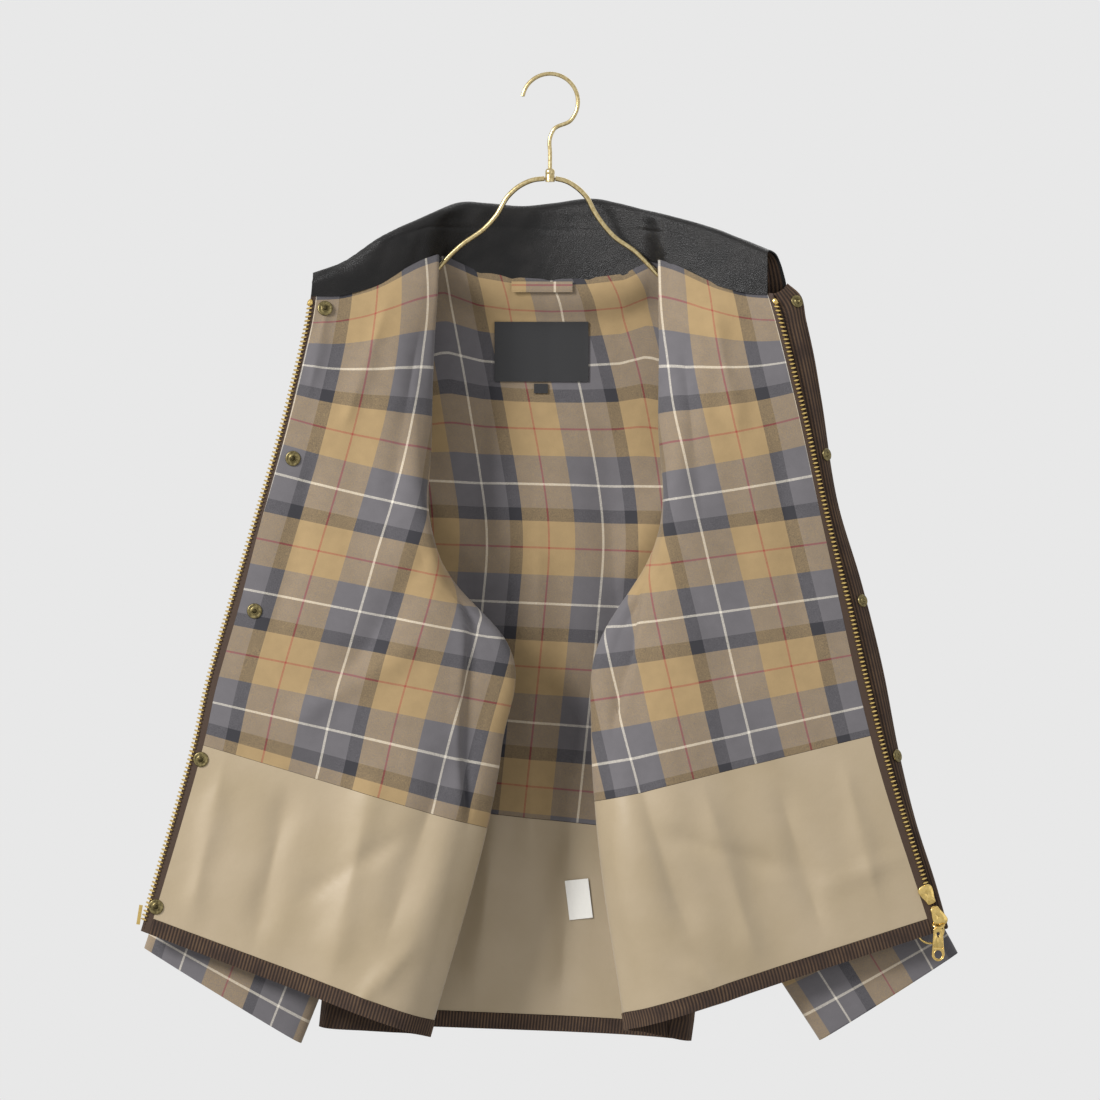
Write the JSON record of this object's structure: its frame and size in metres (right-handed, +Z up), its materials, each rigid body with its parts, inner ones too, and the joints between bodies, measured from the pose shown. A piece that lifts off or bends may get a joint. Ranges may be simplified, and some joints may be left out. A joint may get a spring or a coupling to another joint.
{
  "type": "corduroy jacket on a wire hanger",
  "caption": "Brown corduroy jacket hung open on a bent wire hanger, fronts folded outward to show a checked and nylon lining.",
  "frame": {"origin": "inner top of the hanger's hook, where a rail carries it", "axes": "+X to the viewer's right, -Y towards the viewer, +Z up"},
  "size_m": [0.7554, 0.1147, 0.9009],
  "materials": {
    "corduroy": "brown wide-wale corduroy",
    "check_cotton": null,
    "nylon_lining": "smooth beige nylon",
    "leather": "black grained leather",
    "hanger_wire": "champagne-gold plated wire",
    "antique_brass": "antique brass",
    "zip_tape": "woven tape",
    "black_label": "black woven label, bare",
    "care_label": "white printed-satin label, bare",
    "zip_brass": "bright polished brass"
  },
  "bodies": {
    "root": {"care_label": "care_label", "check_lining_back": "check_cotton", "check_lining_left": "check_cotton", "check_lining_right": "check_cotton", "collar_leather": "leather", "cuff_left": "check_cotton", "cuff_right": "check_cotton", "hanger_arm_left": "hanger_wire", "hanger_arm_right": "hanger_wire", "hanger_ferrule": "hanger_wire", "hanger_hook": "hanger_wire", "hanging_loop": "check_cotton", "hem_back": "corduroy", "hem_left": "corduroy", "hem_right": "corduroy", "insertion_pin": "zip_brass", "lower_bail": "zip_brass", "main_label": "black_label", "nylon_lining_back": "nylon_lining", "nylon_lining_left": "nylon_lining", "nylon_lining_right": "nylon_lining", "shell_back": "corduroy", "shell_left_front": "corduroy", "shell_right_front": "corduroy", "size_tag": "black_label", "sleeve_left": "corduroy", "sleeve_right": "corduroy", "snap_socket_1": "antique_brass", "snap_socket_2": "antique_brass", "snap_socket_3": "antique_brass", "snap_socket_4": "antique_brass", "snap_stud_1": "antique_brass", "snap_stud_2": "antique_brass", "snap_stud_3": "antique_brass", "snap_stud_4": "antique_brass", "snap_stud_5": "antique_brass", "storm_flap": "corduroy", "under_collar": "corduroy", "upper_bail": "zip_brass", "zip_slider_lower": "zip_brass", "zip_slider_upper": "zip_brass", "zip_tape_left": "zip_tape", "zip_tape_right": "zip_tape"},
    "tab": {"pull_tab": "zip_brass"},
    "ring": {"ring_pull": "zip_brass"}
  },
  "joints": [
    {"name": "pull_tab_swing", "type": "hinge", "parent": "root", "child": "tab", "pos_m": [0.355, -0.069, -0.789], "axis": [-1, 0, 0], "range_deg": [0, 150]},
    {"name": "ring_pull_swing", "type": "hinge", "parent": "root", "child": "ring", "pos_m": [0.349, -0.0566, -0.778], "axis": [1, 0, 0], "range_deg": [0, 5]}
  ]
}
